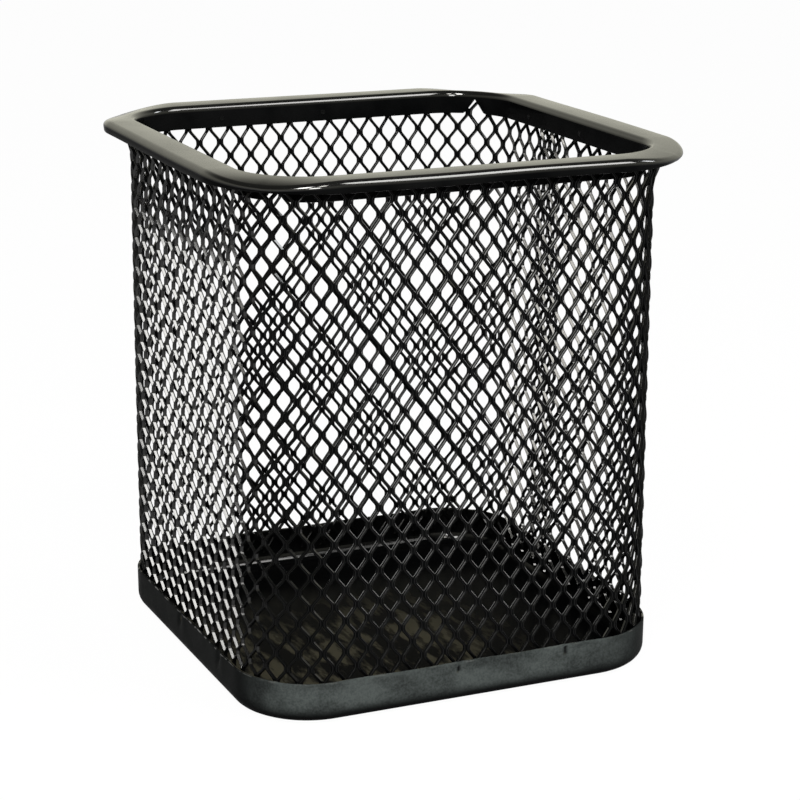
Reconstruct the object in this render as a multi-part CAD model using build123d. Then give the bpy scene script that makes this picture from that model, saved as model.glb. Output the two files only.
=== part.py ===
from build123d import *
from math import cos, hypot, pi, radians, sin, sqrt
import os

# Square mesh pen cup: a drawn base pan, a sleeve of expanded steel and a pressed rim frame, joined by
# spot welds. Millimetres, +Z up, front face towards -Y, origin at the middle of the underside.
# The sleeve is one sheet bent four times and lapped at a seam. It is divided at its bend lines here,
# and its diamonds are drawn at about twice their real pitch, with the real share of open area.

# Body
HEIGHT = 97.0  # table to the top of the rim
SIDE_FLAT = 52.4  # straight run of each side, from bend line to bend line
SLEEVE_CORNER_RADIUS = 13.8  # outer face of the sleeve round a corner
FIT_GAP = 0.05  # slip gap of the sleeve inside the pan and outside the rim's skirt

# Expanded-steel sleeve
SLEEVE_SHEET = 0.7
STRAND_WIDTH = 1.8
SIDE_COLUMNS = 6
CORNER_COLUMNS = 3
MESH_ROWS = 7

# Base pan
PAN_SHEET = 0.5
PAN_HEIGHT = 7.65
PAN_EDGE_RADIUS = 2.6  # outer radius between the floor and the wall

# Rim frame
RIM_SHEET = 0.6
FLANGE_OVERHANG = 5.0  # from the sleeve's outer face to the outside of the lip
SKIRT_DEPTH = 5.0  # from the top of the rim to the skirt's lower edge
SKIRT_BEND_RADIUS = 1.2  # upper face, between the skirt and the flange
LIP_DEPTH = 2.2  # from the top of the rim to the lip's lower edge
LIP_BEND_RADIUS = 1.5  # upper face, between the flange and the lip
NOTCH_WIDTH = 4.4  # relief cut in the skirt at each corner
NOTCH_DEPTH = 3.0

# Spot welds, each on a bond of the mesh
WELD_SIZE = 1.2  # across the corners of a nugget
BASE_WELD_HEIGHT = 5.1
RIM_WELD_DEPTH = 2.8  # below the top of the rim
WELD_COLUMNS = (3, 5)  # bonds along each side that carry a weld
SEAM_COLUMNS = (3, 4)  # bonds of the right side between which the sheet's ends lap
SEAM_WELD_ROWS = (0, 2, 4, 6)

# Faces that follow from the sizes above, as distances from the cup's axis. A bend of the sleeve folds along
# every half column, and bend_inner is the distance from its centre to the flats between the folds.
corner_centre = SIDE_FLAT / 2
sleeve_outer = corner_centre + SLEEVE_CORNER_RADIUS
sleeve_inner = sleeve_outer - SLEEVE_SHEET
lap_inner = sleeve_inner - SLEEVE_SHEET
pan_inner = sleeve_outer + FIT_GAP
pan_outer = pan_inner + PAN_SHEET
bend_inner = (SLEEVE_CORNER_RADIUS - SLEEVE_SHEET) * cos(pi / 8 / CORNER_COLUMNS)
skirt_outer = corner_centre + bend_inner - FIT_GAP
skirt_inner = skirt_outer - RIM_SHEET
lip_outer = sleeve_outer + FLANGE_OVERHANG

# Heights and mesh pitches that follow from the sizes above
skirt_foot = HEIGHT - SKIRT_DEPTH
sleeve_foot = PAN_EDGE_RADIUS
sleeve_top = HEIGHT - SKIRT_BEND_RADIUS - FIT_GAP
lap_top = skirt_foot - FIT_GAP
rim_weld_height = HEIGHT - RIM_WELD_DEPTH
row_pitch = (rim_weld_height - BASE_WELD_HEIGHT) / MESH_ROWS
side_pitch = SIDE_FLAT / SIDE_COLUMNS
corner_pitch = (SLEEVE_CORNER_RADIUS - SLEEVE_SHEET / 2) * pi / 2 / CORNER_COLUMNS

SIDES = ("front", "right", "back", "left")
CORNERS = ("back_right", "back_left", "front_left", "front_right")


def quarter_turn(shape, count):
    """Copy of a shape, turned about the cup's axis by a number of quarter turns."""
    return Rot(0, 0, 90 * count) * shape


def on_every_side(shapes):
    """Copies of the shapes of the front side on all four sides."""
    return [quarter_turn(shape, count) for count in range(len(SIDES)) for shape in shapes]


def bevel(radius):
    """Width of the flat bevel that touches a square bend of this radius at its middle."""
    return (2 - sqrt(2)) * radius


def column_place(column):
    """Distance of a mesh column from the middle of its side."""
    return column * side_pitch - corner_centre


def mesh_opening(column_pitch):
    """Diamond left open in a mesh cell once half a strand is taken off each of its edges."""
    half_width = column_pitch / 2
    half_height = row_pitch / 2
    cell_reach = half_width * half_height / hypot(half_width, half_height)
    open_share = 1 - STRAND_WIDTH / 2 / cell_reach
    width = half_width * open_share
    height = half_height * open_share
    return Polygon((width, 0), (0, height), (-width, 0), (0, -height))


def opening_heights(half_column):
    """Heights of the openings in a half column, where openings and bonds take turns."""
    first = BASE_WELD_HEIGHT
    if half_column % 2 == 0:
        first -= row_pitch / 2
    return [first + row * row_pitch for row in range(MESH_ROWS + 2)]


def side_openings(first_column, last_column):
    """Openings of a flat side from one bond column to another."""
    diamond = mesh_opening(side_pitch)
    return [
        Pos(column_place(half_column / 2), height) * diamond
        for half_column in range(2 * first_column, 2 * last_column + 1)
        for height in opening_heights(half_column)
    ]


def weld_outlines(points):
    """Outlines of the nuggets at points given along a side and up it."""
    nugget = RegularPolygon(WELD_SIZE / 2, 4)
    return [Pos(along, height) * nugget for along, height in points]


def weld_nuggets(points, start, end):
    """Nuggets of the front side between two distances from the cup's axis."""
    return [extrude(Plane.XZ.offset(start) * outline, end - start) for outline in weld_outlines(points)]


base_weld_points = [(column_place(column), BASE_WELD_HEIGHT) for column in WELD_COLUMNS]
rim_weld_points = [(column_place(column), rim_weld_height) for column in WELD_COLUMNS]
seam_middle = sum(map(column_place, SEAM_COLUMNS)) / 2
seam_first_weld = BASE_WELD_HEIGHT + row_pitch / 2
seam_weld_points = [(seam_middle, seam_first_weld + row * row_pitch) for row in SEAM_WELD_ROWS]


def flat_mesh(first_column, last_column, top, inner_face, weld_points):
    """Flat stretch of the mesh sheet on the front side, with a socket for each weld."""
    start = column_place(first_column)
    end = column_place(last_column)
    blank = Pos((start + end) / 2, (sleeve_foot + top) / 2) * Rectangle(end - start, top - sleeve_foot)
    net = blank - side_openings(first_column, last_column) - weld_outlines(weld_points)
    return extrude(Plane.XZ.offset(inner_face) * net, SLEEVE_SHEET)


def side_mesh(seam_points=()):
    """Front side of the sleeve, from bend line to bend line."""
    points = base_weld_points + rim_weld_points + list(seam_points)
    return flat_mesh(0, SIDE_COLUMNS, sleeve_top, sleeve_inner, points)


def seam_lap():
    """End of the mesh sheet, lapped one column wide on the inside of its side."""
    return flat_mesh(*SEAM_COLUMNS, lap_top, lap_inner, seam_weld_points)


def corner_mesh():
    """Back right bend of the sleeve, folded along every half column, with its openings cut square to it."""
    half_columns = 2 * CORNER_COLUMNS
    fold_angles = [radians(90 * half_column / half_columns) for half_column in range(half_columns + 1)]
    outer_folds = [Vector(cos(angle), sin(angle)) * SLEEVE_CORNER_RADIUS for angle in fold_angles]
    inner_folds = [fold * (1 - SLEEVE_SHEET / SLEEVE_CORNER_RADIUS) for fold in outer_folds]
    outline = make_face(Polyline(*outer_folds, *reversed(inner_folds), close=True))
    band = extrude(Pos(0, 0, sleeve_foot) * outline, sleeve_top - sleeve_foot)
    diamond = mesh_opening(corner_pitch)
    cuts = []
    for half_column, fold in enumerate(inner_folds):
        face = Plane(origin=(0, 0, 0), x_dir=Vector(0, 0, 1).cross(fold), z_dir=fold).offset(fold.length / 2)
        for height in opening_heights(half_column):
            cuts.append(extrude(face * Pos(0, height) * diamond, SLEEVE_CORNER_RADIUS))
    return Pos(corner_centre, corner_centre) * (band - cuts)


def base_pan(welds):
    """Shallow drawn pan round the foot of the sleeve, with a socket for each weld."""
    outside = extrude(RectangleRounded(2 * pan_outer, 2 * pan_outer, pan_outer - corner_centre), PAN_HEIGHT)
    outside = fillet(outside.edges().group_by(Axis.Z)[0], PAN_EDGE_RADIUS)
    hollow = extrude(RectangleRounded(2 * pan_inner, 2 * pan_inner, pan_inner - corner_centre), PAN_HEIGHT)
    hollow = chamfer(hollow.edges().group_by(Axis.Z)[0], bevel(PAN_EDGE_RADIUS - PAN_SHEET))
    return outside - Pos(0, 0, PAN_SHEET) * hollow - welds


def rim_section():
    """Folded section of the rim, drawn outwards from the cup's axis and up from the table."""
    lip_inner = lip_outer - RIM_SHEET
    lip_foot = HEIGHT - LIP_DEPTH
    under = HEIGHT - RIM_SHEET
    skirt_bevel = bevel(SKIRT_BEND_RADIUS)
    skirt_under_bevel = bevel(SKIRT_BEND_RADIUS - RIM_SHEET)
    lip_under_bevel = bevel(LIP_BEND_RADIUS - RIM_SHEET)
    outline = Polyline(
        (skirt_inner, skirt_foot),
        (skirt_inner, HEIGHT - skirt_bevel),
        (skirt_inner + skirt_bevel, HEIGHT),
        (lip_outer, HEIGHT),
        (lip_outer, lip_foot),
        (lip_inner, lip_foot),
        (lip_inner, under - lip_under_bevel),
        (lip_inner - lip_under_bevel, under),
        (skirt_outer + skirt_under_bevel, under),
        (skirt_outer, under - skirt_under_bevel),
        (skirt_outer, skirt_foot),
        close=True,
    )
    section = make_face(outline)
    lip_edge = section.vertices().group_by(Axis.Y)[-1].sort_by(Axis.X)[-1]
    return fillet(lip_edge, LIP_BEND_RADIUS)


def corner_notch():
    """Wedge that relieves the skirt at the back right corner, pointing up."""
    outward = Plane(origin=(corner_centre, corner_centre, skirt_foot), x_dir=(-1, 1, 0), z_dir=(1, 1, 0))
    wedge = Polygon((-NOTCH_WIDTH / 2, 0), (NOTCH_WIDTH / 2, 0), (0, NOTCH_DEPTH), align=None)
    return extrude(outward * wedge, SLEEVE_CORNER_RADIUS)


def rim_frame(welds):
    """Pressed rim: inner skirt, flat flange and turned-down lip, with a socket for each weld."""
    edge = RectangleRounded(2 * lip_outer, 2 * lip_outer, lip_outer - corner_centre).wire()
    frame = sweep(Plane.XZ * rim_section(), path=edge)
    return frame - on_every_side([corner_notch()]) - welds


base_welds = on_every_side(weld_nuggets(base_weld_points, sleeve_inner, pan_inner + PAN_SHEET / 2))
rim_welds = on_every_side(weld_nuggets(rim_weld_points, skirt_outer - RIM_SHEET / 2, sleeve_outer))
right_side = SIDES.index("right")
seam_nuggets = weld_nuggets(seam_weld_points, lap_inner, sleeve_outer)
seam_welds = [quarter_turn(nugget, right_side) for nugget in seam_nuggets]

nodes = {
    "base_pan": base_pan(base_welds),
    "rim_frame": rim_frame(rim_welds),
    "mesh_seam_lap": quarter_turn(seam_lap(), right_side),
    "base_spot_welds": Compound(children=base_welds),
    "rim_spot_welds": Compound(children=rim_welds),
    "seam_spot_welds": Compound(children=seam_welds),
}
plain_side = side_mesh()
seam_side = side_mesh(seam_weld_points)
for count, side in enumerate(SIDES):
    nodes["mesh_wall_" + side] = quarter_turn(seam_side if count == right_side else plain_side, count)
bend_mesh = corner_mesh()
for count, corner in enumerate(CORNERS):
    nodes["mesh_corner_" + corner] = quarter_turn(bend_mesh, count)

os.makedirs("parts", exist_ok=True)
for name, shape in nodes.items():
    export_step(shape, "parts/" + name + ".step")
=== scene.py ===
from math import atan2, cos, exp, hypot, pi, radians, sin

import bmesh
import bpy
from bpy.props import FloatProperty, FloatVectorProperty, IntProperty, PointerProperty
from mathutils import Matrix, Vector


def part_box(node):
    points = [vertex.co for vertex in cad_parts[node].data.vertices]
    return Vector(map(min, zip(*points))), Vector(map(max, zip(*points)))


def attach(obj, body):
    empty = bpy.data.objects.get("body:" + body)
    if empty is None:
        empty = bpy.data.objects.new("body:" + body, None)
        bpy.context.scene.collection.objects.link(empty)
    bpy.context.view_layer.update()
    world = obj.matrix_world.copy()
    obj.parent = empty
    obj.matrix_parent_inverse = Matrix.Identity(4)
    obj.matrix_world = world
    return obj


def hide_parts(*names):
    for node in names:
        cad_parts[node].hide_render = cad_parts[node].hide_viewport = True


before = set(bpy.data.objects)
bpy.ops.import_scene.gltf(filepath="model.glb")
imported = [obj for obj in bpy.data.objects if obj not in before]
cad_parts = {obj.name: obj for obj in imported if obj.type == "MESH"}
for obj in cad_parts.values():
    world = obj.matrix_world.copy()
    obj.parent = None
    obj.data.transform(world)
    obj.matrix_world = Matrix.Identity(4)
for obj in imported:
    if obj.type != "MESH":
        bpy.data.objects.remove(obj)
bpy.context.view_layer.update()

bl_info = {
    "name": "Mesh pen cup",
    "version": (1, 0, 0),
    "blender": (4, 5, 0),
    "location": "3D View > Sidebar > Mesh cup",
    "description": "Dresses a square pen cup of expanded steel with its sleeve, rim, pan and welds",
    "category": "Object",
}

MM = 0.001
SIDES = ("right", "back", "left", "front")  # in the order in which the sleeve runs round, from its seam
CORNERS = ("back_right", "back_left", "front_left", "front_right")  # the corner after each side

RIM_LOW, RIM_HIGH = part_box("rim_frame")
PAN_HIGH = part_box("base_pan")[1]
WALL_LOW, WALL_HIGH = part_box("mesh_wall_front")
HEIGHT = RIM_HIGH.z
CORNER_CENTRE = WALL_HIGH.x  # bend lines, and centres of every corner
SLEEVE_OUTER = -WALL_LOW.y
INSIDE = "inside"  # attribute that tells the pan's inner faces from its outer ones
CUT_EDGE = "cut_edge"  # attribute of the strands: 1 on their slit faces, less along their middle, 0 between
FLANGE = "flange"  # attribute that tells the rim's flat top from its skirt and lip

CLOSE = 0.01 * MM  # points nearer than this count as one
STRAND_EDGE = 0.08 * MM  # bevel along a strand
STRAND_OVERLAP = 0.07 * MM  # how far a strand sinks into its neighbour at a bond
STRAND_MIDDLE = 0.76  # value of CUT_EDGE along the middle of a strand
# heights from the middle of a bond, each with the share of the way across to the other side
BOND_BEND = ((-0.66 * MM, 0.1), (-0.36 * MM, 0.012), (0, 0), (0.36 * MM, 0.012), (0.66 * MM, 0.1))
CORNER_FLARE = 0.3 * MM  # more flare at the middle of a corner
FLARE_KEPT, FLARE_RUN = 3.5 * MM, 5 * MM  # the flare is whole this far down, and then runs out
LAP_RUN, LAP_EASE = 12 * MM, 11 * MM  # end of the sleeve, and the part of it that steps inward
SEAM_WELD_ROWS = range(1, 16, 3)  # rows of diamonds that have a weld at the seam
RIM_HEM = (0.2 * MM, 2)  # radius and segments of the rim's free edges
PAN_HEM = (0.18 * MM, 2)  # the same for the pan's edge
FLANGE_END, FLANGE_FADE = 1.14 * MM, 0.6 * MM  # below the rim's top, where FLANGE is 0, and its run up to 1
PAN_ROWS = 9  # rows of faces up the pan's wall
DENT_LEAN = 0.35  # sideways run of a dent for its rise

LAMPS = (  # name, place, width and height, watts, tint
    ("lamp_left", (-0.283, -0.376, 0.696), (0.12, 0.30), 4.0, (1.0, 0.99, 0.96)),
    ("lamp_inner", (-0.085, -0.431, 0.723), (0.08, 0.13), 1.0, (1.0, 0.97, 0.90)),
    ("lamp_front", (-0.246, -0.677, 0.397), (0.14, 0.26), 4.2, (1.0, 0.99, 0.96)),
    ("lamp_corner", (0.36, -0.433, 0.718), (0.28, 0.38), 4.4, (1.0, 0.99, 0.96)),
    ("lamp_side", (0.61, -0.085, 0.56), (0.1, 0.16), 1.0, (0.96, 0.98, 1.0)),
)
FLOOR_HALF = 3.0  # metres from the middle of the floor to its edge
WHITE = (1, 1, 1, 1)
FLOOR_GREY = (0.7, 0.7, 0.7, 1)
WARM_WHITE = (1, 0.985, 0.83, 1)  # tint of what glossy paint mirrors


class SleeveSizes(bpy.types.PropertyGroup):
    """Expanded-steel sleeve"""

    columns: IntProperty(name="Columns", description="Diamonds round the sleeve", default=69, min=8)
    row_pitch: FloatProperty(
        name="Row pitch", description="Height of one diamond", default=5.7 * MM, unit="LENGTH", precision=5
    )
    bond_height: FloatProperty(
        name="Bond height", description="First row of bonds above the pan", default=9.8 * MM, unit="LENGTH"
    )
    seam: FloatProperty(
        name="Seam", description="Start of the lap on the right side", default=6.36 * MM, unit="LENGTH"
    )
    strand_width: FloatProperty(
        name="Strand width", description="Slit to slit", default=0.70 * MM, unit="LENGTH", precision=5
    )
    strand_sheet: FloatProperty(
        name="Sheet", description="Painted thickness", default=0.66 * MM, unit="LENGTH", precision=5
    )
    tilt: FloatProperty(
        name="Tilt",
        description="Turn of the strands out of the sheet",
        default=radians(24),
        subtype="ANGLE",
    )
    foot: FloatProperty(name="Foot", description="Lower end", default=2.7 * MM, unit="LENGTH")
    top: FloatProperty(name="Top", description="Upper end", default=HEIGHT - 1.3 * MM, unit="LENGTH")
    flare: FloatProperty(
        name="Flare", description="Step out round the rim's skirt", default=0.85 * MM, unit="LENGTH"
    )


class RimSizes(bpy.types.PropertyGroup):
    """Pressed rim frame"""

    sheet: FloatProperty(
        name="Sheet", description="Thickness", default=0.6 * MM, unit="LENGTH", precision=5
    )
    outer: FloatProperty(name="Lip", description="Axis to the lip", default=RIM_HIGH.x, unit="LENGTH")
    skirt: FloatProperty(
        name="Skirt", description="Axis to the skirt's inner face", default=38.55 * MM, unit="LENGTH"
    )
    skirt_foot: FloatProperty(
        name="Skirt foot", description="Height", default=RIM_LOW.z + 0.5 * MM, unit="LENGTH"
    )
    skirt_bend: FloatProperty(name="Skirt bend", description="Radius", default=1.2 * MM, unit="LENGTH")
    lip_depth: FloatProperty(
        name="Lip depth", description="Drop of the lip", default=2.2 * MM, unit="LENGTH"
    )
    lip_bend: FloatProperty(name="Lip bend", description="Radius", default=1.2 * MM, unit="LENGTH")
    notch_width: FloatProperty(
        name="Notch width", description="Relief in the skirt's corners", default=4.4 * MM, unit="LENGTH"
    )
    notch_depth: FloatProperty(name="Notch depth", description="Height", default=3.0 * MM, unit="LENGTH")
    corner_dip: FloatProperty(
        name="Corner dip", description="Drop of the flange round a corner", default=1.3 * MM, unit="LENGTH"
    )
    corner_tuck: FloatProperty(
        name="Corner tuck", description="Of the lip's foot round a corner", default=0.7 * MM, unit="LENGTH"
    )


class PanSizes(bpy.types.PropertyGroup):
    """Drawn base pan"""

    sheet: FloatProperty(
        name="Sheet", description="Thickness", default=0.5 * MM, unit="LENGTH", precision=5
    )
    outer: FloatProperty(name="Wall", description="Axis to the wall", default=PAN_HIGH.x, unit="LENGTH")
    top: FloatProperty(name="Top", description="Height of the wall", default=PAN_HIGH.z, unit="LENGTH")
    edge: FloatProperty(name="Edge", description="Radius at the floor", default=2.6 * MM, unit="LENGTH")
    dent: FloatProperty(
        name="Dent", description="Depth of a weld's dent", default=0.4 * MM, unit="LENGTH", precision=5
    )


class WeldSizes(bpy.types.PropertyGroup):
    """Spot welds"""

    radius: FloatProperty(name="Radius", description="Of a weld mark", default=0.6 * MM, unit="LENGTH")
    rise: FloatProperty(
        name="Rise", description="Of a weld mark", default=0.1 * MM, unit="LENGTH", precision=5
    )
    first: FloatProperty(
        name="First", description="From the middle of a side", default=-3.3 * MM, unit="LENGTH"
    )
    second: FloatProperty(
        name="Second", description="From the middle of a side", default=17.9 * MM, unit="LENGTH"
    )
    pan_height: FloatProperty(name="Pan row", description="Height", default=5.1 * MM, unit="LENGTH")
    rim_height: FloatProperty(name="Rim row", description="Height", default=94.2 * MM, unit="LENGTH")


class PaintColours(bpy.types.PropertyGroup):
    """Black paint"""

    deep: FloatVectorProperty(
        name="Deep", description="Darkest paint", subtype="COLOR", default=(0.0014, 0.0015, 0.0016)
    )
    worn: FloatVectorProperty(
        name="Worn", description="Dusty, rubbed paint", subtype="COLOR", default=(0.0032, 0.0033, 0.0034)
    )
    # cool grey of the pan's painted sheen
    pan_sheen_cool: FloatVectorProperty(
        name="Pan", description="Cool cast of the pan", subtype="COLOR", default=(0.046, 0.053, 0.052)
    )
    # dusty patches on the pan's floor, lightened as painted light
    dust_and_light: FloatVectorProperty(
        name="Dust", description="On the pan's floor", subtype="COLOR", default=(0.040, 0.037, 0.025)
    )
    roughness: FloatProperty(
        name="Roughness", description="Of clean paint", subtype="FACTOR", default=0.3, min=0, max=1
    )


class StageSettings(bpy.types.PropertyGroup):
    """Floor, light and camera"""

    azimuth: FloatProperty(name="Azimuth", description="View", default=radians(-24.0), subtype="ANGLE")
    elevation: FloatProperty(name="Elevation", description="View", default=radians(15.85), subtype="ANGLE")
    roll: FloatProperty(name="Roll", description="View", default=radians(0.3), subtype="ANGLE")
    distance: FloatProperty(name="Distance", description="View", default=453.4 * MM, unit="LENGTH")
    right: FloatProperty(name="Right", description="Camera offset", default=2.95 * MM, unit="LENGTH")
    up: FloatProperty(name="Up", description="Camera offset", default=-3.07 * MM, unit="LENGTH")
    lens: FloatProperty(name="Lens", description="Focal length", default=108.0, unit="CAMERA")


SETTINGS = {
    "cup_sleeve": SleeveSizes,
    "cup_rim": RimSizes,
    "cup_pan": PanSizes,
    "cup_weld": WeldSizes,
    "cup_paint": PaintColours,
    "cup_stage": StageSettings,
}


# Finish of a mesh and its place in the frame


def finish_piece(bm, name, material, nodes, sharp=radians(40)):
    """Make an object of a bmesh, ride it on the cup and let it stand for its solids."""
    for face in bm.faces:
        face.smooth = True
    for edge in bm.edges:
        edge.smooth = edge.calc_face_angle(0.0) < sharp
    mesh = bpy.data.meshes.new(name)
    bm.to_mesh(mesh)
    bm.free()
    piece = bpy.data.objects.new(name, mesh)
    bpy.context.scene.collection.objects.link(piece)
    mesh.materials.append(material)
    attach(piece, "root")
    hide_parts(*nodes)


def new_parts(made, kind):
    """The vertices, edges or faces among what an operator returns."""
    return [part for part in made if isinstance(part, kind)]


def round_square(bm, edges, bend_steps, run_steps):
    """Sweep a section from the back end of the right side round the four corners and sides."""
    run = 2 * CORNER_CENTRE / run_steps
    for quarter in range(4):
        turn = Matrix.Rotation(quarter * pi / 2, 3, "Z")
        made = bmesh.ops.spin(
            bm,
            geom=edges,
            cent=turn @ Vector((CORNER_CENTRE, CORNER_CENTRE, 0)),
            axis=(0, 0, 1),
            angle=pi / 2,
            steps=bend_steps,
            use_duplicate=False,
        )
        edges = new_parts(made["geom_last"], bmesh.types.BMEdge)
        for _ in range(run_steps):
            made = bmesh.ops.extrude_edge_only(bm, edges=edges)
            verts = new_parts(made["geom"], bmesh.types.BMVert)
            bmesh.ops.translate(bm, verts=verts, vec=turn @ Vector((-run, 0, 0)))
            edges = new_parts(made["geom"], bmesh.types.BMEdge)
            edges = [edge for edge in edges if set(edge.verts) <= set(verts)]
    bmesh.ops.remove_doubles(bm, verts=bm.verts, dist=CLOSE)


def section_edges(bm, outline, bends):
    """Draw a section out from the cup's axis, at the back end of the right side, with rounded bends."""
    verts = [bm.verts.new((out, CORNER_CENTRE, up)) for out, up in outline]
    bm.faces.new(verts)
    for index, (radius, segments) in bends.items():
        bmesh.ops.bevel(
            bm,
            geom=[verts[index]],
            offset=radius,
            offset_type="OFFSET",
            affect="VERTICES",
            segments=segments,
            profile=0.5,
            material=-1,
        )
    bmesh.ops.delete(bm, geom=list(bm.faces), context="FACES_ONLY")
    return list(bm.edges)


def round_corner(point):
    """Share of the way round a corner, 0 to 1, and the distance from its centre, or None on a side."""
    x, y = abs(point.x) - CORNER_CENTRE, abs(point.y) - CORNER_CENTRE
    if x <= 0 or y <= 0:
        return None, max(x, y)
    return atan2(y, x) / (pi / 2), hypot(x, y)


def along_side(point):
    """Distance of a point from the middle of its side, counted to the right as seen from outside."""
    if abs(point.x) > abs(point.y):
        return point.y if point.x > 0 else -point.y
    return point.x if point.y < 0 else -point.x


def clamp(value):
    """Value kept between 0 and 1."""
    return min(max(value, 0), 1)


def hill(value, width):
    """Smooth bump of height 1 at value 0."""
    return exp(-((value / width) ** 2))


# Sleeve of expanded steel


def strand(bm, sizes, pitch, first_right):
    """Zigzag strand between two half columns, whose bends at the bond rows go right or left."""
    width, sheet, tilt = sizes.strand_width, sizes.strand_sheet, sizes.tilt
    made = bmesh.ops.create_circle(bm, cap_ends=True, segments=4, radius=0.5 ** 0.5)
    bmesh.ops.rotate(bm, verts=made["verts"], cent=(0, 0, 0), matrix=Matrix.Rotation(pi / 4, 3, "Z"))
    bmesh.ops.scale(bm, verts=made["verts"], vec=(width, sheet, 1))
    bmesh.ops.bevel(
        bm,
        geom=made["verts"],
        offset=STRAND_EDGE,
        offset_type="OFFSET",
        affect="VERTICES",
        segments=1,
        profile=0.5,
        material=-1,
    )
    flats = [edge for edge in bm.edges if all(abs(vert.co.y) > sheet / 2 - CLOSE for vert in edge.verts)]
    bmesh.ops.bisect_edges(bm, edges=flats, cuts=1)
    cut = bm.verts.layers.float.new(CUT_EDGE)
    for vert in bm.verts:
        reach = abs(vert.co.x)
        vert[cut] = 1.0 if reach > width / 2 - CLOSE else STRAND_MIDDLE if reach < CLOSE else 0.0
    bmesh.ops.rotate(bm, verts=bm.verts, cent=(0, 0, 0), matrix=Matrix.Rotation(tilt, 3, "Z"))
    half_row = sizes.row_pitch / 2
    left = (width / 2 - STRAND_OVERLAP) * Vector((cos(tilt), sin(tilt), 0))
    right = Vector((pitch / 2, 0, 0)) - left
    stations = []
    bend = int((sizes.foot - sizes.bond_height) / half_row) - 1
    while sizes.bond_height + bend * half_row < sizes.top + half_row:
        goes_right = (bend % 2 == 0) == first_right
        for rise, share in BOND_BEND:
            height = sizes.bond_height + bend * half_row + rise
            if sizes.foot <= height <= sizes.top:
                place = left.lerp(right, 1 - share if goes_right else share)
                stations.append(place + Vector((0, 0, height)))
        bend += 1
    bmesh.ops.translate(bm, verts=bm.verts, vec=stations[0])
    foot = face = list(bm.faces)[0]
    for start, end in zip(stations, stations[1:]):
        made = bmesh.ops.extrude_face_region(bm, geom=[face])
        if face is not foot:
            bmesh.ops.delete(bm, geom=[face], context="FACES_ONLY")
        verts = new_parts(made["geom"], bmesh.types.BMVert)
        face = new_parts(made["geom"], bmesh.types.BMFace)[0]
        bmesh.ops.translate(bm, verts=verts, vec=end - start)
    bmesh.ops.recalc_face_normals(bm, faces=bm.faces)


class SleevePath:
    """Middle surface of the sleeve, unrolled from the seam to the right as seen from outside."""

    def __init__(self, sizes):
        self.sizes = sizes
        depth = sizes.strand_width * sin(sizes.tilt) + sizes.strand_sheet / 2 * cos(sizes.tilt)
        self.radius = SLEEVE_OUTER - CORNER_CENTRE - depth
        self.flat = 2 * CORNER_CENTRE
        self.quarter = self.flat + self.radius * pi / 2
        self.length = 4 * self.quarter
        self.start = CORNER_CENTRE + sizes.seam
        self.pitch = self.length / sizes.columns
        self.lap = 2 * depth

    def side(self, along):
        """Index of the side for a length along the sleeve, split at the middle of the corners."""
        return int(((along + self.start + self.radius * pi / 4) % self.length) // self.quarter)

    def place(self, along, out, up):
        """Point in the frame for a length along the sleeve, a distance out of it and a height."""
        sizes = self.sizes
        rest = (along + self.start) % self.length
        quarter = int(rest // self.quarter)
        rest -= quarter * self.quarter
        if rest < self.flat:
            foot = Vector((CORNER_CENTRE + self.radius, rest - CORNER_CENTRE, 0))
            normal = Vector((1, 0, 0))
            corner = 0.0
        else:
            angle = (rest - self.flat) / self.radius
            normal = Vector((cos(angle), sin(angle), 0))
            foot = Vector((CORNER_CENTRE, CORNER_CENTRE, 0)) + normal * self.radius
            corner = sin(2 * angle)
        lost = clamp((HEIGHT - up - FLARE_KEPT) / FLARE_RUN)
        out += (sizes.flare + corner * CORNER_FLARE) * (1 - lost) ** 2
        # the sheet is a little uneven
        out += 0.12 * MM * sin(up / (31 * MM) + along / (17 * MM)) + 0.08 * MM * sin(along / (7.3 * MM))
        share = clamp((along - self.length + LAP_RUN) / LAP_EASE)
        out -= self.lap * share * share * (3 - 2 * share)
        point = Matrix.Rotation(quarter * pi / 2, 3, "Z") @ (foot + normal * out)
        point.z = up + 0.1 * MM * sin(along / (23 * MM) + 1)
        return point


class CUP_OT_sleeve(bpy.types.Operator):
    """Weave the expanded-steel sleeve, one piece for each side"""

    bl_idname = "mesh_cup.sleeve"
    bl_label = "Sleeve"

    def execute(self, context):
        sizes = context.scene.cup_sleeve
        path = SleevePath(sizes)
        paint = sleeve_paint(context.scene.cup_paint)
        patterns = []
        for first_right in (False, True):
            pattern = bmesh.new()
            strand(pattern, sizes, path.pitch, first_right)
            mesh = bpy.data.meshes.new("strand")
            pattern.to_mesh(mesh)
            pattern.free()
            patterns.append(mesh)
        sheets = [bmesh.new() for _ in SIDES]
        half = path.pitch / 2
        for column in range(2 * sizes.columns + 3):
            sheet = sheets[path.side((column + 0.5) * half)]
            before = len(sheet.verts)
            sheet.from_mesh(patterns[column % 2])
            sheet.verts.ensure_lookup_table()
            for vert in sheet.verts[before:]:
                vert.co = path.place(column * half + vert.co.x, vert.co.y, vert.co.z)
        for mesh in patterns:
            bpy.data.meshes.remove(mesh)
        for count, side in enumerate(SIDES):
            # the path runs to the right as seen from outside, which turns the strands inside out
            bmesh.ops.reverse_faces(sheets[count], faces=sheets[count].faces)
            nodes = ["mesh_wall_" + side, "mesh_corner_" + CORNERS[count]]
            if side == "right":
                nodes.append("mesh_seam_lap")
            finish_piece(sheets[count], "sleeve_" + side, paint, nodes, sharp=radians(12))
        return {"FINISHED"}


# Rim


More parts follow.
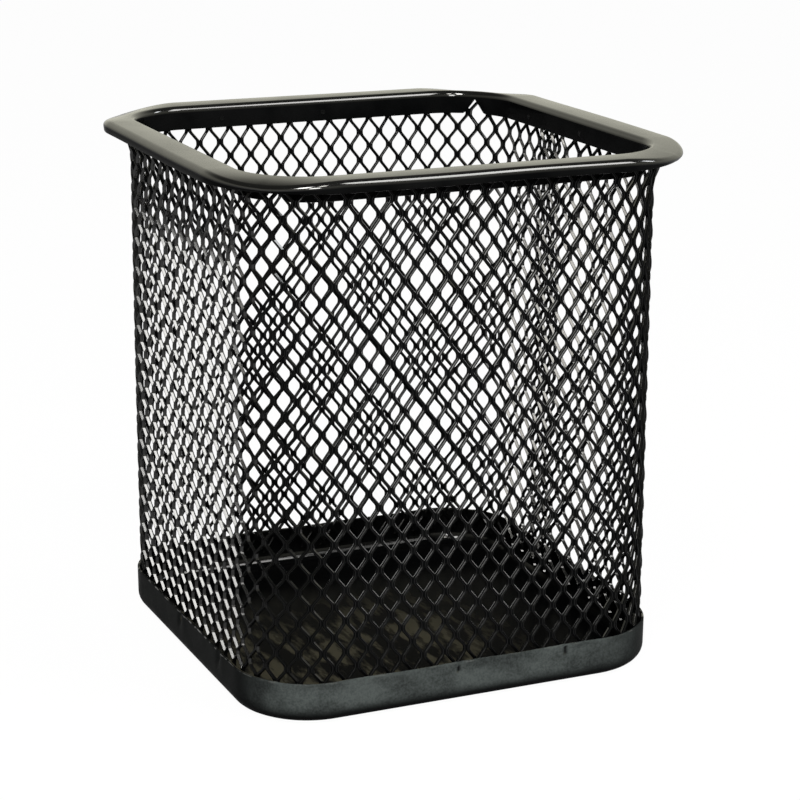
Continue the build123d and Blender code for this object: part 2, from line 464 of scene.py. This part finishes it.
class CUP_OT_rim(bpy.types.Operator):
    """Press the rim frame, with its skirt, flange, lip and corner reliefs"""

    bl_idname = "mesh_cup.rim"
    bl_label = "Rim"

    def execute(self, context):
        sizes = context.scene.cup_rim
        sheet = sizes.sheet
        bm = bmesh.new()
        under = HEIGHT - sheet
        lip_foot = HEIGHT - sizes.lip_depth
        outline = (
            (sizes.skirt, sizes.skirt_foot),
            (sizes.skirt, HEIGHT),
            (sizes.outer, HEIGHT),
            (sizes.outer, lip_foot),
            (sizes.outer - sheet, lip_foot),
            (sizes.outer - sheet, under),
            (sizes.skirt + sheet, under),
            (sizes.skirt + sheet, sizes.skirt_foot),
        )
        bends = {
            0: RIM_HEM,
            1: (sizes.skirt_bend, 6),
            2: (sizes.lip_bend, 7),
            3: RIM_HEM,
            4: RIM_HEM,
            5: (sizes.lip_bend - sheet, 5),
            6: (sizes.skirt_bend - sheet, 4),
            7: RIM_HEM,
        }
        edges = section_edges(bm, outline, bends)
        round_square(bm, edges, bend_steps=40, run_steps=40)
        bmesh.ops.recalc_face_normals(bm, faces=bm.faces)
        width = sizes.outer - sizes.skirt
        skirt_middle = sizes.skirt + sheet / 2 - CORNER_CENTRE
        level = bm.verts.layers.float.new(FLANGE)
        for vert in bm.verts:
            share, out = round_corner(vert.co)
            flange = clamp((out + CORNER_CENTRE - sizes.skirt) / width)
            below = HEIGHT - vert.co.z
            vert[level] = clamp((FLANGE_END - below) / FLANGE_FADE)
            if share is not None:
                if below > sizes.skirt_bend and flange < 0.3:
                    aside = abs(share - 0.5) * pi / 2 * skirt_middle / (sizes.notch_width / 2)
                    if aside < 1:
                        vert.co.z = max(vert.co.z, sizes.skirt_foot + sizes.notch_depth * (1 - aside))
                round_it = sin(pi * share) ** 1.5 * flange ** 2
                drop = min(below / sizes.lip_depth, 1)
                vert.co.z -= sizes.corner_dip * round_it * (1 - drop)
                if flange > 0.5:
                    inward = sizes.corner_tuck * round_it * drop / (out + CORNER_CENTRE)
                    vert.co.x -= inward * vert.co.x
                    vert.co.y -= inward * vert.co.y
            vert.co.z += 0.06 * MM * sin(along_side(vert.co) / (9 * MM) + vert.co.x / (20 * MM)) * flange
        finish_piece(bm, "rim_pressed", rim_paint(context.scene.cup_paint), ["rim_frame"])
        return {"FINISHED"}


# Pan


class CUP_OT_pan(bpy.types.Operator):
    """Draw the base pan, dented where the sleeve is welded to it"""

    bl_idname = "mesh_cup.pan"
    bl_label = "Pan"

    def execute(self, context):
        sizes = context.scene.cup_pan
        welds = context.scene.cup_weld
        sheet = sizes.sheet
        floor_start = CORNER_CENTRE + 1.0 * MM
        bm = bmesh.new()
        wall_height = sizes.top - sizes.edge
        wall = [(sizes.outer, sizes.edge + wall_height * row / PAN_ROWS) for row in range(1, PAN_ROWS)]
        inner = [(sizes.outer - sheet, up) for _, up in reversed(wall)]
        outline = (
            [(floor_start, 0), (sizes.outer, 0)]
            + wall
            + [(sizes.outer, sizes.top), (sizes.outer - sheet, sizes.top)]
            + inner
            + [(sizes.outer - sheet, sheet), (floor_start, sheet)]
        )
        top = 2 + len(wall)
        bends = {
            1: (sizes.edge, 8),
            top: PAN_HEM,
            top + 1: PAN_HEM,
            len(outline) - 2: (sizes.edge - sheet, 6),
        }
        edges = section_edges(bm, outline, bends)
        inmost = [edge for edge in edges if all(vert.co.x < floor_start + CLOSE for vert in edge.verts)]
        bmesh.ops.delete(bm, geom=inmost, context="EDGES")
        round_square(bm, list(bm.edges), bend_steps=36, run_steps=88)
        bmesh.ops.holes_fill(bm, edges=[edge for edge in bm.edges if edge.is_boundary], sides=0)
        bmesh.ops.recalc_face_normals(bm, faces=bm.faces)
        for vert in bm.verts:
            share, out = round_corner(vert.co)
            if out < sizes.outer - CORNER_CENTRE - 1.2 * sheet or vert.co.z < sizes.edge:
                continue
            along = along_side(vert.co)
            rise = (vert.co.z - sizes.edge) / wall_height
            push = 0.05 * MM * rise * sin(along / (4.1 * MM) + vert.co.x / (13 * MM))
            if share is None:
                for place in (welds.first, welds.second):
                    aside = along - place
                    climb = vert.co.z - welds.pan_height
                    dent = hill(aside - DENT_LEAN * climb, 0.75 * MM) * hill(climb - 1.4 * MM, 1.5 * MM)
                    swell = 0.35 * hill(aside - 2.2 * MM, 1.3 * MM) * rise
                    push += sizes.dent * (swell - dent)
            vert.co.x += push * (1 if vert.co.x > 0 else -1) * (abs(vert.co.x) > abs(vert.co.y))
            vert.co.y += push * (1 if vert.co.y > 0 else -1) * (abs(vert.co.y) >= abs(vert.co.x))
            vert.co.z += 0.07 * MM * rise * sin(along / (3.3 * MM) + vert.co.y / (9 * MM))
        inside = bm.verts.layers.float.new(INSIDE)
        for vert in bm.verts:
            _, out = round_corner(vert.co)
            reach = max(out - (sizes.outer - CORNER_CENTRE - sizes.edge), 0)
            drop = max(sizes.edge - vert.co.z, 0)
            vert[inside] = 1.0 if hypot(reach, drop) < sizes.edge - 0.6 * sheet else 0.0
        finish_piece(bm, "pan_drawn", pan_paint(context.scene.cup_paint), ["base_pan"])
        return {"FINISHED"}


# Welds


def weld_mark(bm, radius, depth, place, out):
    """Mark of a spot weld, a low stud with a dimpled top, that faces along a direction."""
    made = bmesh.ops.create_cone(
        bm, cap_ends=True, segments=12, radius1=radius, radius2=0.75 * radius, depth=2 * depth
    )
    verts = set(made["verts"])
    faces = {face for vert in verts for face in vert.link_faces}
    top = max(faces, key=lambda face: face.calc_center_median().z)
    for share, rise in ((0.2, 0.2), (0.25, -0.4)):
        bmesh.ops.inset_individual(bm, faces=[top], thickness=share * radius, depth=rise * depth)
        verts |= set(top.verts)
    turn = Vector((0, 0, 1)).rotation_difference(out).to_matrix()
    bmesh.ops.rotate(bm, verts=list(verts), cent=(0, 0, 0), matrix=turn)
    bmesh.ops.translate(bm, verts=list(verts), vec=place)


class CUP_OT_welds(bpy.types.Operator):
    """Set the spot welds of the pan, the rim and the seam"""

    bl_idname = "mesh_cup.welds"
    bl_label = "Welds"

    def execute(self, context):
        sizes = context.scene.cup_weld
        sleeve = context.scene.cup_sleeve
        path = SleevePath(sleeve)
        paint = weld_paint(context.scene.cup_paint)
        rim = context.scene.cup_rim
        rows = (
            ("welds_pan", "base_spot_welds", sizes.pan_height, SLEEVE_OUTER - path.lap),
            ("welds_rim", "rim_spot_welds", sizes.rim_height, rim.skirt),
        )
        for name, node, height, distance in rows:
            bm = bmesh.new()
            for quarter in range(4):
                turn = Matrix.Rotation(quarter * pi / 2, 3, "Z")
                for along in (sizes.first, sizes.second):
                    place = turn @ Vector((along, -distance, height))
                    weld_mark(bm, sizes.radius, sizes.rise, place, turn @ Vector((0, 1, 0)))
            bmesh.ops.recalc_face_normals(bm, faces=bm.faces)
            finish_piece(bm, name, paint, [node])
        bm = bmesh.new()
        for row in SEAM_WELD_ROWS:
            height = sleeve.bond_height + (row + 0.5) * sleeve.row_pitch
            inward = path.place(path.length + path.pitch / 2, -path.lap / 2, height)
            weld_mark(bm, sizes.radius, sizes.rise, inward, Vector((-1, 0, 0)))
        finish_piece(bm, "welds_seam", paint, ["seam_spot_welds"])
        return {"FINISHED"}


# Paint


class Signal:
    """Output of a shader node whose arithmetic adds Math nodes."""

    def __init__(self, graph, socket):
        self.graph = graph
        self.socket = socket

    def math(self, operation, first, second):
        """Result of a Math node on two values."""
        return self.graph.node("ShaderNodeMath", {"operation": operation}, {0: first, 1: second})

    def __add__(self, other):
        return self.math("ADD", self, other)

    __radd__ = __add__

    def __sub__(self, other):
        return self.math("SUBTRACT", self, other)

    def __rsub__(self, other):
        return self.math("SUBTRACT", other, self)

    def __mul__(self, other):
        return self.math("MULTIPLY", self, other)

    __rmul__ = __mul__


class Graph:
    """Node tree of a material or world."""

    def __init__(self, owner):
        owner.use_nodes = True
        self.tree = owner.node_tree
        self.tree.nodes.clear()

    def node(self, kind, settings=None, sockets=None, output=0):
        """Add a node, set it up, feed its sockets and return one of its outputs."""
        node = self.tree.nodes.new(kind)
        for key, value in (settings or {}).items():
            setattr(node, key, value)
        for key, value in (sockets or {}).items():
            if isinstance(value, Signal):
                self.tree.links.new(value.socket, node.inputs[key])
            else:
                node.inputs[key].default_value = value
        return Signal(self, node.outputs[output]) if node.outputs else node

    def own_place(self, stretch=None):
        """Place on the piece in the frame, in metres, with a pattern on it drawn out by a scale under 1."""
        place = self.node("ShaderNodeTexCoord", output="Object")
        if stretch:
            place = self.node("ShaderNodeMapping", None, {"Vector": place, "Scale": stretch})
        return place

    def noise(self, scale, detail, stretch=None):
        """Noise from 0 to 1, with about this many cells to a metre."""
        place = self.own_place(stretch)
        sockets = {"Vector": place, "Scale": scale, "Detail": detail, "Roughness": 0.55}
        return self.node("ShaderNodeTexNoise", None, sockets, "Fac")

    def along(self, axis):
        """Place along an axis of the frame, in metres."""
        return self.node("ShaderNodeSeparateXYZ", None, {0: self.own_place()}, axis)

    def attribute(self, name):
        """Value that the piece's own mesh carries."""
        return self.node("ShaderNodeAttribute", {"attribute_name": name}, None, "Fac")

    def ramp(self, value, low, high):
        """Value stretched to run from 0 to 1 between two limits."""
        sockets = {"Value": value, "From Min": low, "From Max": high}
        return self.node("ShaderNodeMapRange", {"interpolation_type": "SMOOTHSTEP"}, sockets)

    def blend(self, share, first, second):
        """Mix of two colours."""
        sockets = {0: share, 6: first, 7: second}
        return self.node("ShaderNodeMix", {"data_type": "RGBA"}, sockets, 2)

    def bump(self, height, distance, strength):
        """Normal of a relief whose height runs from 0 to a distance in metres."""
        sockets = {"Height": height, "Distance": distance, "Strength": strength}
        return self.node("ShaderNodeBump", None, sockets, "Normal")


def colour(value):
    """Colour property with its alpha."""
    return (*value, 1.0)


def painted(name, make):
    """New material whose shader comes from a function of its graph."""
    material = bpy.data.materials.new(name)
    graph = Graph(material)
    graph.node("ShaderNodeOutputMaterial", None, {"Surface": make(graph)})
    return material


def pan_paint(colours):
    """Satin black of the pan: cloudy outside, with a painted cool grey sheen on its front and back, and
    smoother inside, with dusty patches lightened by painted light on its floor.
    """

    def make(graph):
        cloud = graph.ramp(graph.noise(260, 5, (0.5, 1, 1)), 0.3, 0.7)
        grain = graph.ramp(graph.noise(2600, 3), 0.3, 0.7)
        peel = graph.noise(420, 2)
        # painted shade: the pan's foot, up to 3.5 mm, is kept clear of the grey and stays deep black
        lower = graph.ramp(graph.along("Z"), 1.0 * MM, 3.5 * MM)
        # painted sheen: grey on the front and back, less so towards the right end, mottled at random
        depth = graph.along("Y")
        ends = 0.08 + 0.92 * graph.ramp(depth * depth, (28 * MM) ** 2, (39 * MM) ** 2)
        fade = 0.2 + 0.8 * graph.ramp(graph.along("X"), 39 * MM, 20 * MM)
        rubbed = lower * ends * fade * (0.3 + cloud * 0.5 + grain * 0.3)
        hem = graph.ramp(graph.along("Z"), PAN_HIGH.z - 0.3 * MM, PAN_HIGH.z - 0.1 * MM)
        outside = {
            # the grey blended in here is painted sheen, mottled at random
            "Base Color": graph.blend(rubbed, colour(colours.deep), colour(colours.pan_sheen_cool)),
            "Coat Weight": hem * graph.ramp(peel, 0.48, 0.6),
            "Coat Roughness": 0.15,
            "Roughness": colours.roughness + 0.1 + 0.1 * cloud,
            "Specular IOR Level": 0.005,
            "Normal": graph.bump(grain * 0.35 + peel, 0.04 * MM, 0.6),
        }
        # dusty patches, lightened with painted light where light through the sleeve falls, lie on the front
        # left part of the floor, and the bend round the floor shines at the back
        front = graph.ramp(graph.along("Y"), 22 * MM, -10 * MM)
        left = graph.ramp(graph.along("X"), 26 * MM, 2 * MM)
        dust_and_light = front * left * graph.ramp(graph.noise(320, 4, (1, 0.3, 1)), 0.46, 0.62)
        bend = graph.ramp(graph.along("Z"), 0.6 * MM, 1.2 * MM)
        back = graph.ramp(graph.along("Y"), 5 * MM, 25 * MM)
        inside = {
            "Base Color": graph.blend(dust_and_light, colour(colours.deep), colour(colours.dust_and_light)),
            "Roughness": 0.2 + 0.12 * dust_and_light,
            "Specular IOR Level": 0.004,
            "Coat Weight": bend * back * 0.5,
            "Coat Roughness": 0.1,
            "Normal": graph.bump(peel, 0.02 * MM, 0.5),
        }
        shaders = [graph.node("ShaderNodeBsdfPrincipled", None, sockets) for sockets in (outside, inside)]
        return graph.node(
            "ShaderNodeMixShader", None, {0: graph.attribute(INSIDE), 1: shaders[0], 2: shaders[1]}
        )

    return painted("pan_satin_black", make)


def rim_paint(colours):
    """Smoother black of the rim, with a clear skin on its flat top."""

    def make(graph):
        cloud = graph.ramp(graph.noise(90, 3), 0.35, 0.7)
        grain = graph.noise(2400, 2)
        peel = graph.noise(380, 2)
        sockets = {
            "Base Color": graph.blend(cloud, colour(colours.deep), colour(colours.worn)),
            "Roughness": colours.roughness - 0.12 + 0.08 * cloud,
            "Coat Weight": graph.attribute(FLANGE) * (0.66 - 0.06 * cloud),
            "Coat IOR": 1.8,
            "Coat Roughness": 0.1,
            "Specular IOR Level": 0.005,
            "Specular Tint": (1.0, 0.96, 0.88, 1.0),
            "Normal": graph.bump(grain * 0.25 + peel, 0.03 * MM, 0.5),
        }
        return graph.node("ShaderNodeBsdfPrincipled", None, sockets)

    return painted("rim_gloss_black", make)


def sleeve_paint(colours):
    """Black of the sleeve, with a clear skin on its slit faces and along the middle of its strands."""

    def make(graph):
        cloud = graph.ramp(graph.noise(110, 3), 0.4, 0.7)
        grain = graph.noise(2800, 2)
        sockets = {
            "Base Color": graph.blend(cloud * 0.6, colour(colours.deep), colour(colours.worn)),
            "Roughness": colours.roughness - 0.15 + 0.06 * grain,
            "Coat Weight": 0.7 * graph.ramp(graph.attribute(CUT_EDGE), 0.48, 1.0),
            "Coat Roughness": 0.16,
            "Specular IOR Level": 0.005,
            "Normal": graph.bump(grain, 0.01 * MM, 0.2),
        }
        return graph.node("ShaderNodeBsdfPrincipled", None, sockets)

    return painted("sleeve_black", make)


def weld_paint(colours):
    """Painted-over weld marks, rougher than the sheet round them."""

    def make(graph):
        grain = graph.noise(1500, 4)
        sockets = {
            "Base Color": graph.blend(grain, colour(colours.deep), colour(colours.worn)),
            "Roughness": colours.roughness + 0.2 * grain,
            "Specular IOR Level": 0.04,
            "Normal": graph.bump(grain, 0.12 * MM, 0.7),
        }
        return graph.node("ShaderNodeBsdfPrincipled", None, sockets)

    return painted("weld_black", make)


# Stage


def softbox(name, place, size, power, tint):
    """Rectangular lamp that faces the middle of the cup."""
    lamp = bpy.data.lights.new(name, "AREA")
    lamp.shape = "RECTANGLE"
    lamp.size, lamp.size_y = size
    lamp.energy = power
    lamp.color = tint
    box = bpy.data.objects.new(name, lamp)
    bpy.context.scene.collection.objects.link(box)
    aim = Vector((0, 0, HEIGHT / 2)) - Vector(place)
    box.matrix_world = Matrix.Translation(place) @ aim.to_track_quat("-Z", "Y").to_matrix().to_4x4()


def ray_kind(graph, *kinds):
    """1 for these kinds of ray, else 0."""
    first, *rest = [graph.node("ShaderNodeLightPath", output=f"Is {kind} Ray") for kind in kinds]
    for other in rest:
        first = first.math("MAXIMUM", first, other)
    return first


class CUP_OT_stage(bpy.types.Operator):
    """Set the pale floor, the soft lamps and the camera"""

    bl_idname = "mesh_cup.stage"
    bl_label = "Stage"

    def execute(self, context):
        scene = context.scene
        view = scene.cup_stage
        bm = bmesh.new()
        bmesh.ops.create_grid(bm, x_segments=1, y_segments=1, size=FLOOR_HALF)
        mesh = bpy.data.meshes.new("floor")
        bm.to_mesh(mesh)
        bm.free()
        floor = bpy.data.objects.new("floor", mesh)
        scene.collection.objects.link(floor)

        def pale(graph):
            glow = graph.node("ShaderNodeEmission", None, {"Color": WHITE, "Strength": 1.0})
            matt = graph.node("ShaderNodeBsdfDiffuse", None, {"Color": FLOOR_GREY})
            share = 0.97 * ray_kind(graph, "Camera", "Transmission") + 0.5 * ray_kind(graph, "Glossy")
            return graph.node("ShaderNodeMixShader", None, {0: share, 1: matt, 2: glow})

        mesh.materials.append(painted("floor_white", pale))
        world = bpy.data.worlds.new("studio")
        scene.world = world
        graph = Graph(world)
        way = graph.node("ShaderNodeTexCoord", output="Generated")
        ceiling = graph.ramp(graph.node("ShaderNodeSeparateXYZ", None, {0: way}, "Z"), 0.35, 0.75)
        # light on the object first, then what its gloss mirrors, then what the camera sees
        mixed = graph.node("ShaderNodeBackground", None, {"Color": WHITE, "Strength": 0.32})
        layers = (
            (WARM_WHITE, 1 - 0.88 * ceiling, ray_kind(graph, "Glossy")),
            (WHITE, 1.0, ray_kind(graph, "Camera", "Transmission")),
        )
        for tint, strength, share in layers:
            layer = graph.node("ShaderNodeBackground", None, {"Color": tint, "Strength": strength})
            mixed = graph.node("ShaderNodeMixShader", None, {0: share, 1: mixed, 2: layer})
        graph.node("ShaderNodeOutputWorld", None, {"Surface": mixed})
        for lamp in LAMPS:
            softbox(*lamp)
        scene.view_settings.view_transform = "Standard"
        lens = bpy.data.cameras.new("camera")
        lens.lens = view.lens
        lens.sensor_width = 36.0
        lens.clip_start = 0.01
        camera = bpy.data.objects.new("camera", lens)
        scene.collection.objects.link(camera)
        camera.matrix_world = (
            Matrix.Translation((0, 0, HEIGHT / 2))
            @ Matrix.Rotation(view.azimuth, 4, "Z")
            @ Matrix.Rotation(pi / 2 - view.elevation, 4, "X")
            @ Matrix.Translation((view.right, view.up, view.distance))
            @ Matrix.Rotation(view.roll, 4, "Z")
        )
        scene.camera = camera
        return {"FINISHED"}


STEPS = (CUP_OT_sleeve, CUP_OT_rim, CUP_OT_pan, CUP_OT_welds, CUP_OT_stage)


class CUP_PT_panel(bpy.types.Panel):
    """Steps and sizes of the pen cup"""

    bl_idname = "CUP_PT_panel"
    bl_label = "Mesh pen cup"
    bl_space_type = "VIEW_3D"
    bl_region_type = "UI"
    bl_category = "Mesh cup"

    def draw(self, context):
        column = self.layout.column()
        for step in STEPS:
            column.operator(step.bl_idname)
        for name, group in SETTINGS.items():
            box = column.box()
            box.label(text=group.__doc__)
            for key in group.__annotations__:
                box.prop(getattr(context.scene, name), key)


def register():
    for group in SETTINGS.values():
        bpy.utils.register_class(group)
    for name, group in SETTINGS.items():
        setattr(bpy.types.Scene, name, PointerProperty(type=group))
    for step in (*STEPS, CUP_PT_panel):
        bpy.utils.register_class(step)


def unregister():
    for step in (CUP_PT_panel, *reversed(STEPS)):
        bpy.utils.unregister_class(step)
    for name, group in SETTINGS.items():
        delattr(bpy.types.Scene, name)
        bpy.utils.unregister_class(group)


def main():
    register()
    for step in STEPS:
        group, name = step.bl_idname.split(".")
        getattr(getattr(bpy.ops, group), name)()


if __name__ == "__main__":
    main()
